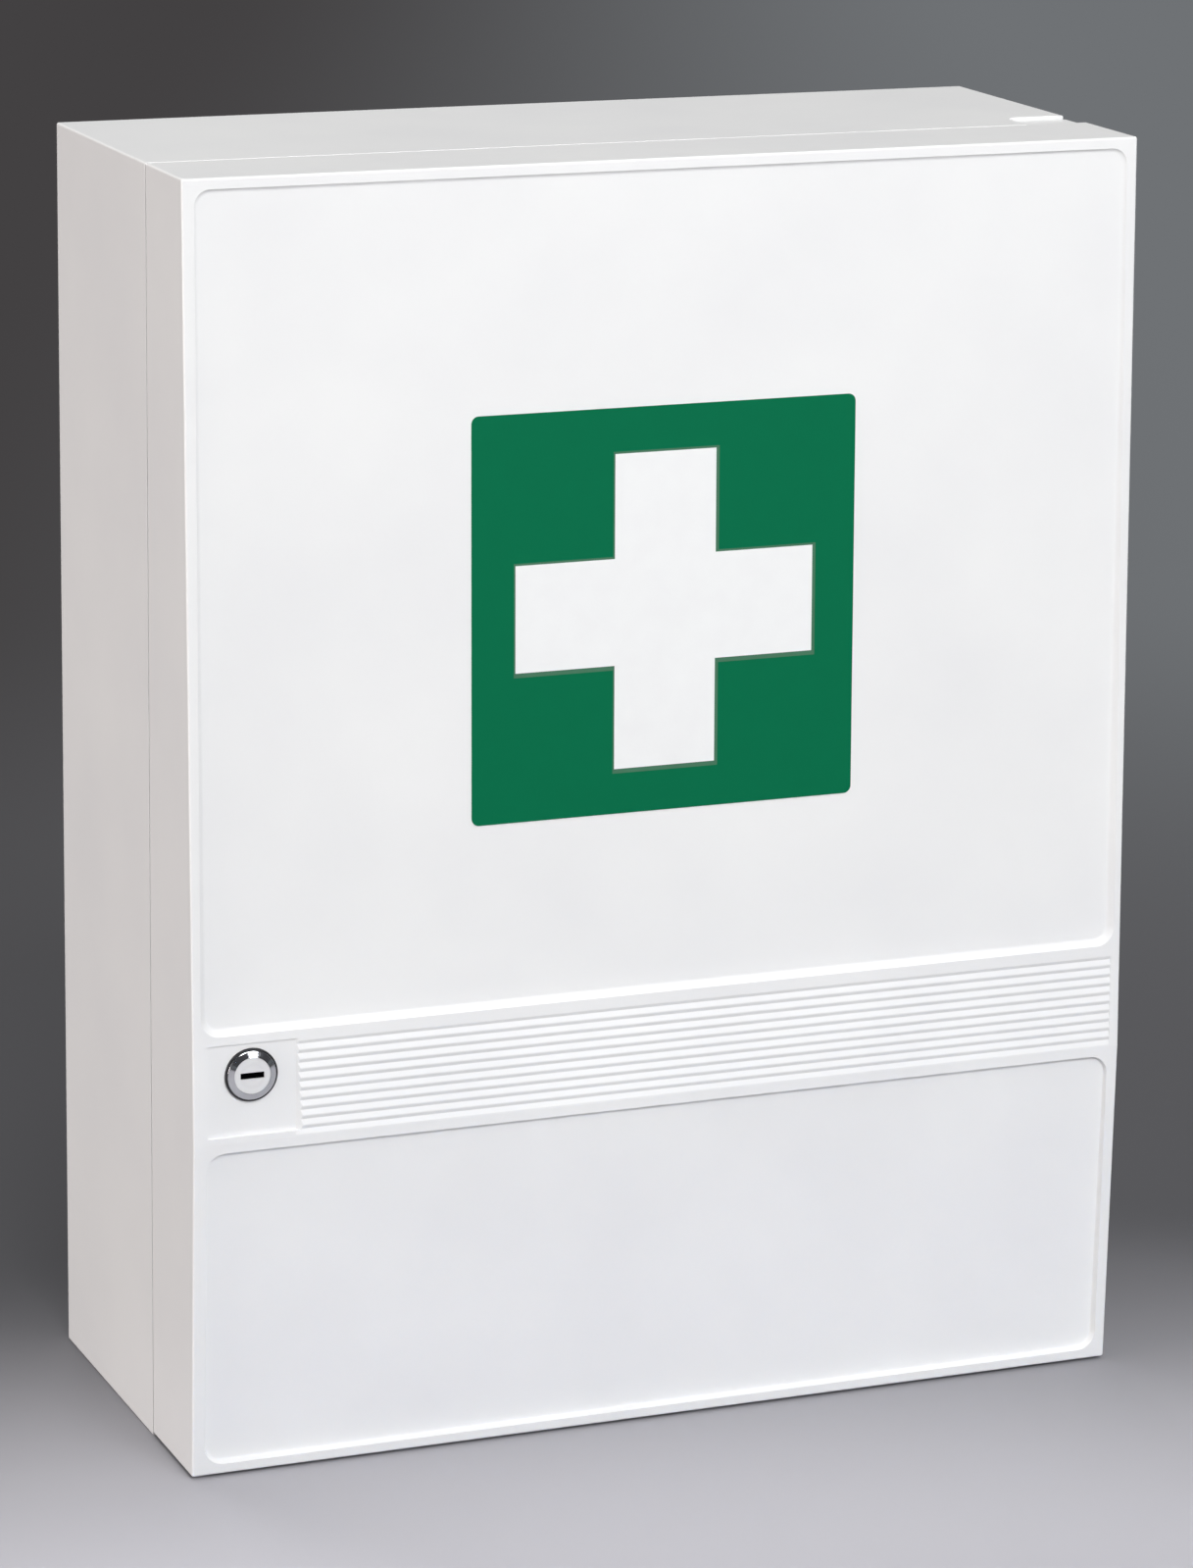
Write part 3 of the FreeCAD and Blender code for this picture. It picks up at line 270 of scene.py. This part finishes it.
def nylonMoulded():
    # natural nylon: creamy and slightly see-through, a soft waxy gloss
    look = nylonLook
    pale, cream = (fromHex(code) for code in look["colours"])
    material, tree, place = startMaterial("Nylon_moulded_natural")
    cloud = addNode(tree, "ShaderNodeTexNoise", look["cloud"], {"Vector": place})
    tint = addNode(tree, "ShaderNodeMix", {"data_type": "RGBA", 6: pale, 7: cream},
                   {"Factor": cloud.outputs["Fac"]})
    gloss = addNode(tree, "ShaderNodeMapRange", look["gloss"], {"Value": cloud.outputs["Fac"]})
    shader = addNode(tree, "ShaderNodeBsdfPrincipled", look["skin"],
                     {"Base Color": tint.outputs[2], "Roughness": gloss.outputs["Result"]})
    return endMaterial(material, tree, shader)


blackRingLook = {
    "colours": ("#141417", "#1e1e22"), "grain": {"Scale": perMetre(0.6)},
    "gloss": {"To Min": 0.42, "To Max": 0.58}, "skin": {"IOR": 1.52},
}


def blackRingMoulded():
    # moulded black for the ring round the lock: deep, with a dull sheen along its rounded edge
    look = blackRingLook
    deep, dusty = (fromHex(code) for code in look["colours"])
    material, tree, place = startMaterial("Black_ring_moulded")
    grain = addNode(tree, "ShaderNodeTexNoise", look["grain"], {"Vector": place})
    tint = addNode(tree, "ShaderNodeMix", {"data_type": "RGBA", 6: deep, 7: dusty},
                   {"Factor": grain.outputs["Fac"]})
    gloss = addNode(tree, "ShaderNodeMapRange", look["gloss"], {"Value": grain.outputs["Fac"]})
    shader = addNode(tree, "ShaderNodeBsdfPrincipled", look["skin"],
                     {"Base Color": tint.outputs[2], "Roughness": gloss.outputs["Result"]})
    return endMaterial(material, tree, shader)


blackRingFinish = blackRingMoulded()
absWhite = absMoulded()
shelfStyrene = styreneMoulded("Polystyrene_moulded_shelf", styreneLook["shelf"])
trayStyrene = styreneMoulded("Polystyrene_moulded_tray", styreneLook["tray"])
greenVinyl = vinylPrinted("Vinyl_printed_green", filmLook["green"])
whiteVinyl = vinylPrinted("Vinyl_printed_white", filmLook["white"])
lineVinyl = vinylPrinted("Vinyl_printed_keyline", filmLook["line"])
chromePlate = metalFinished("Zinc_alloy_chrome_plated", "chrome")
zincSteel = metalFinished("Steel_zinc_plated", "zinc")
turnedSteel = metalFinished("Steel_turned_pin", "turned")
plugChrome = plugTurned()
nylon = nylonMoulded()

finishes = {
    "body_shell": absWhite, "door_shell": absWhite,
    "shelf_lower": shelfStyrene, "shelf_middle": shelfStyrene, "shelf_upper": shelfStyrene,
    "door_tray_lower": trayStyrene, "door_tray_middle": trayStyrene, "door_tray_upper": trayStyrene,
    "hinge_bush_upper": nylon, "hinge_bush_lower": nylon,
    "hinge_pin_upper": turnedSteel, "hinge_pin_lower": turnedSteel,
    "strike_plate": zincSteel, "strike_screws": zincSteel,
    "sign_field": greenVinyl, "sign_cross": whiteVinyl,
    "lock_housing": chromePlate, "lock_plug": plugChrome,
    "lock_washer": zincSteel, "lock_nut": zincSteel, "lock_cam": zincSteel, "cam_screw": zincSteel,
}
for nodeName, finish in finishes.items():
    slots = cabinet[nodeName].material_slots
    slots[0].link = "OBJECT"
    slots[0].material = finish
print("finishes set:", len(set(finishes.values())))


def closeGrid(mesh, rows):
    # faces between neighbouring rows of points, closed both ways
    for i, row in enumerate(rows):
        following = rows[(i + 1) % len(rows)]
        for j, point in enumerate(row):
            k = (j + 1) % len(row)
            mesh.faces.new((point, row[k], following[k], following[j]))
    bmesh.ops.recalc_face_normals(mesh, faces=mesh.faces)


def addPiece(name, mesh, material):
    data = bpy.data.meshes.new(name)
    mesh.to_mesh(data)
    mesh.free()
    data.materials.append(material)
    piece = bpy.data.objects.new(name, data)
    bpy.context.scene.collection.objects.link(piece)
    return piece


keyline = {
    "right": 1.3, "left": 0.6, "top": 0.8, "bottom": 1.7,  # mm: wider to the right and below
    "thickness": 0.06,
    "backLayer": 0.1,  # mm: the cross's points this near to its back give the outline
}


def printKeyline():
    # a thin grey-green line round the cross, printed a little off register
    cross = cabinet["sign_cross"].data
    out = max(cross.polygons, key=lambda face: face.area).normal.copy()
    out = out if out.y < 0 else -out
    up = out.cross(Vector((1, 0, 0)))
    points = [vertex.co.copy() for vertex in cross.vertices]
    back = min(point.dot(out) for point in points)
    middle = sum(points, Vector()) / len(points)
    foot = middle + out * (back - middle.dot(out))
    corners = {(round((p - middle).x / mm, 2), round((p - middle).dot(up) / mm, 2))
               for p in points if p.dot(out) - back < keyline["backLayer"] * mm}
    inner = sorted(corners, key=lambda corner: math.atan2(corner[1], corner[0]))
    outer = [(x + (keyline["right"] if x > 0 else -keyline["left"]),
              z + (keyline["top"] if z > 0 else -keyline["bottom"])) for x, z in inner]
    thick = keyline["thickness"]
    mesh = bmesh.new()
    rows = [[mesh.verts.new(foot + (Vector((x, 0, 0)) + up * z + out * level) * mm) for x, z in outline]
            for outline, level in ((inner, 0), (inner, thick), (outer, thick), (outer, 0))]
    closeGrid(mesh, rows)
    line = addPiece("sign_keyline", mesh, lineVinyl)
    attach(line, "door")
    print("keyline round the cross:", len(inner), "corners")


printKeyline()

lockRing = {
    # radius and height in mm over the pad, from the bezel outwards
    "profile": ((9.23, 0.0), (9.23, 0.95), (9.33, 1.12), (9.5, 1.18), (9.72, 1.1), (9.86, 0.88), (9.9, 0.6),
                (9.9, 0.0)),
    "steps": 96, "padBehind": 1.85,  # mm from the plug's face back to the pad
}


def seatLockRing():
    # thin black ring between the bezel and the door, giving the lock its dark outline
    low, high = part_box("lock_housing")
    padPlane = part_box("lock_plug")[0].y + lockRing["padBehind"] * mm
    middle = Vector(((low.x + high.x) / 2, padPlane, (low.z + high.z) / 2))
    mesh = bmesh.new()
    rows = []
    for step in range(lockRing["steps"]):
        turn = 2 * math.pi * step / lockRing["steps"]
        rows.append([mesh.verts.new(middle + Vector((math.cos(turn) * r, -out, math.sin(turn) * r)) * mm)
                     for r, out in lockRing["profile"]])
    closeGrid(mesh, rows)
    for face in mesh.faces:
        face.smooth = True
    ring = addPiece("lock_ring", mesh, blackRingFinish)
    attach(ring, "door")
    print("rubber ring round the lock:", len(rows), "steps")


seatLockRing()

cameraSet = {
    "azimuth": -21.90, "elevation": 12.87, "roll": 0.69,  # degrees
    "place": (-0.7603, -1.8925, 0.7541), "clip": (0.05, 60),  # metres
    "focalPixels": 5662, "shift": -0.10, "imageHeight": 1599, "sensor": 36.0,
}

stageSet = {
    "side": 40.0, "middle": (-0.12, -0.8),  # metres: the sheet, and the middle of the pool of light painted on it
    # metres from that middle: where the painted pool of light ends, and where the sheet only glows
    "paintedPoolEnd": {"interpolation_type": "SMOOTHSTEP", "From Min": 0.58, "From Max": 0.98},
    "farStart": {"interpolation_type": "SMOOTHSTEP", "From Min": 1.1, "From Max": 2.2},
    "farAcross": {"interpolation_type": "SMOOTHSTEP", "From Min": -0.5, "From Max": 0.5},
    # colours: the painted pool of light, the grey round it, the glowing backdrop's left and lighter right,
    # and what the sheet throws back
    "pale": "#c8c7cd", "grey": "#565659", "farLeft": "#434142", "farRight": "#6f7275", "bounce": "#6a6a70",
    "skin": {"Roughness": 0.85, "Specular IOR Level": 0.2},
    "drop": 0.1,  # mm under the standing plane
}


def seenRay(tree):
    # 1 where the camera sees it, by itself or in a reflection, and 0 where it only sends light
    path = addNode(tree, "ShaderNodeLightPath")
    return addNode(tree, "ShaderNodeMath", {"operation": "MAXIMUM"},
                   {0: path.outputs["Is Camera Ray"], 1: path.outputs["Is Glossy Ray"]}).outputs[0]


def layFloor():
    # sheet with a pool of light painted pale round the cabinet, also lit and shadowed there by the lamps,
    # that goes off to a glowing studio grey
    half, level = stageSet["side"] / 2, -stageSet["drop"] * mm
    corners = [(x, y, level) for x, y in ((-half, -half), (half, -half), (half, half), (-half, half))]
    data = bpy.data.meshes.new("studio_floor")
    data.from_pydata(corners, [], [(0, 1, 2, 3)])
    floor = bpy.data.objects.new("studio_floor", data)
    bpy.context.scene.collection.objects.link(floor)
    pale, grey, farLeft, farRight, bounce = (
        fromHex(stageSet[key]) for key in ("pale", "grey", "farLeft", "farRight", "bounce"))
    material, tree, place = startMaterial("Paper_sweep_matt")
    x, y = stageSet["middle"]
    centred = addNode(tree, "ShaderNodeMapping", {"Location": (-x, -y, 0.0)}, {"Vector": place})
    away = addNode(tree, "ShaderNodeVectorMath", {"operation": "LENGTH"},
                   {0: centred.outputs["Vector"]}).outputs["Value"]
    # painted light: the sheet's colour is pale near the middle and grey farther off, a painted pool of
    # light
    fade = addNode(tree, "ShaderNodeMapRange", stageSet["paintedPoolEnd"], {"Value": away})
    paintedPoolColour = addNode(tree, "ShaderNodeMix", {"data_type": "RGBA", 6: pale, 7: grey},
                  {"Factor": fade.outputs["Result"]})
    seen = seenRay(tree)
    # the sheet shows its painted pool of light, but throws little light back up on the cabinet
    sheet = addNode(tree, "ShaderNodeMix", {"data_type": "RGBA", 6: bounce},
                    {"Factor": seen, 7: paintedPoolColour.outputs[2]})
    near = addNode(tree, "ShaderNodeBsdfPrincipled", stageSet["skin"], {"Base Color": sheet.outputs[2]})
    # far away the sheet glows as a painted backdrop, seen only and lighting nothing, with painted light a
    # little lighter to the right
    turn = math.radians(cameraSet["azimuth"])
    across = addNode(tree, "ShaderNodeVectorMath",
                     {"operation": "DOT_PRODUCT", 1: (math.cos(turn), math.sin(turn), 0)}, {0: place})
    side = addNode(tree, "ShaderNodeMapRange", stageSet["farAcross"], {"Value": across.outputs["Value"]})
    backdrop = addNode(tree, "ShaderNodeMix", {"data_type": "RGBA", 6: farLeft, 7: farRight},
                       {"Factor": side.outputs["Result"]})
    paintedGlow = addNode(tree, "ShaderNodeEmission", {"Strength": 1.0}, {"Color": backdrop.outputs[2]})
    off = addNode(tree, "ShaderNodeMapRange", stageSet["farStart"], {"Value": away})
    share = addNode(tree, "ShaderNodeMath", {"operation": "MULTIPLY"}, {0: seen, 1: off.outputs["Result"]})
    shader = addNode(tree, "ShaderNodeMixShader",
                     links={0: share.outputs[0], 1: near.outputs[0], 2: paintedGlow.outputs[0]})
    data.materials.append(endMaterial(material, tree, shader))


lampSet = {
    # place, aim and size in metres, beam angle in degrees
    "front": {"place": (-0.15, -2.7, 2.35), "aim": (0, 0, 0.75), "size": (1.6, 1.2), "beam": 62,
              "watts": 9.6, "tint": "#ffffff"},
    "rightHigh": {"place": (0.8, -0.9, 2.3), "aim": (0, 0, 0.26), "size": (0.9, 0.7), "beam": 180,
                  "watts": 5.0, "tint": "#ffffff"},
    "frontFill": {"place": (0.85, -2.6, 1.15), "aim": (0, 0, 0.26), "size": (0.9, 0.7), "beam": 180,
                  "watts": 20.5, "tint": "#f8faff"},
    "lowFill": {"place": (0.25, -3.2, 0.16), "aim": (0, -0.08, 0.02), "size": (1.1, 0.12), "beam": 7,
                "watts": 0.045, "tint": "#9fc2ff"},
    "leftFront": {"place": (-1.9, -1.0, 0.7), "aim": (0, 0, 0.26), "size": (1.0, 1.0), "beam": 180,
                  "watts": 2.0, "tint": "#fffaf7"},
    "leftSide": {"place": (-2.1, -0.1, 0.35), "aim": (0, 0, 0.26), "size": (1.0, 0.8), "beam": 180,
                 "watts": 20.0, "tint": "#fff6f2"},
    "topBack": {"place": (-0.3, 1.4, 2.1), "aim": (0, 0, 0.3), "size": (1.4, 0.8), "beam": 180,
                "watts": 16.0, "tint": "#ffffff"},
}
worldSet = {"light": "#ffffff", "strength": 0.36, "seen": "#4c4c4f"}


def hangLamps():
    for name, lamp in lampSet.items():
        data = bpy.data.lights.new(name + "_softbox", "AREA")
        data.shape = "RECTANGLE"
        data.size, data.size_y = lamp["size"]
        data.spread = math.radians(lamp["beam"])
        data.energy = lamp["watts"]
        data.color = fromHex(lamp["tint"])[:3]
        box = bpy.data.objects.new(name + "_softbox", data)
        box.location = lamp["place"]
        aim = Vector(lamp["aim"]) - Vector(lamp["place"])
        box.rotation_mode = "QUATERNION"
        box.rotation_quaternion = aim.to_track_quat("-Z", "Y")
        bpy.context.scene.collection.objects.link(box)


def lightRoom():
    # even light from all round, in a room that is seen darker than it lights
    world = bpy.data.worlds.new("studio_room")
    bpy.context.scene.world = world
    world.use_nodes = True
    tree = world.node_tree
    tree.nodes.clear()
    glow = addNode(tree, "ShaderNodeBackground",
                   {"Color": fromHex(worldSet["light"]), "Strength": worldSet["strength"]})
    seen = addNode(tree, "ShaderNodeBackground", {"Color": fromHex(worldSet["seen"]), "Strength": 1.0})
    mixed = addNode(tree, "ShaderNodeMixShader",
                    links={0: seenRay(tree), 1: glow.outputs[0], 2: seen.outputs[0]})
    addNode(tree, "ShaderNodeOutputWorld", links={"Surface": mixed.outputs[0]})


def setCamera():
    az, el, roll = (math.radians(cameraSet[key]) for key in ("azimuth", "elevation", "roll"))
    back = Vector((math.sin(az) * math.cos(el), -math.cos(az) * math.cos(el), math.sin(el)))
    right = (-back).cross(Vector((0, 0, 1))).normalized()
    up = right.cross(-back)
    tiltedRight = right * math.cos(roll) + up * math.sin(roll)
    tiltedUp = up * math.cos(roll) - right * math.sin(roll)
    data = bpy.data.cameras.new("photo_camera")
    data.sensor_width = cameraSet["sensor"]
    data.lens = cameraSet["focalPixels"] / cameraSet["imageHeight"] * cameraSet["sensor"]
    data.shift_y = cameraSet["shift"]
    data.clip_start, data.clip_end = cameraSet["clip"]
    camera = bpy.data.objects.new("photo_camera", data)
    camera.matrix_world = Matrix((tiltedRight, tiltedUp, back)).transposed().to_4x4()
    camera.location = cameraSet["place"]
    bpy.context.scene.collection.objects.link(camera)
    bpy.context.scene.camera = camera


layFloor()
hangLamps()
lightRoom()
setCamera()
bpy.context.scene.view_settings.view_transform = "Standard"
print("stage, lamps and camera set")
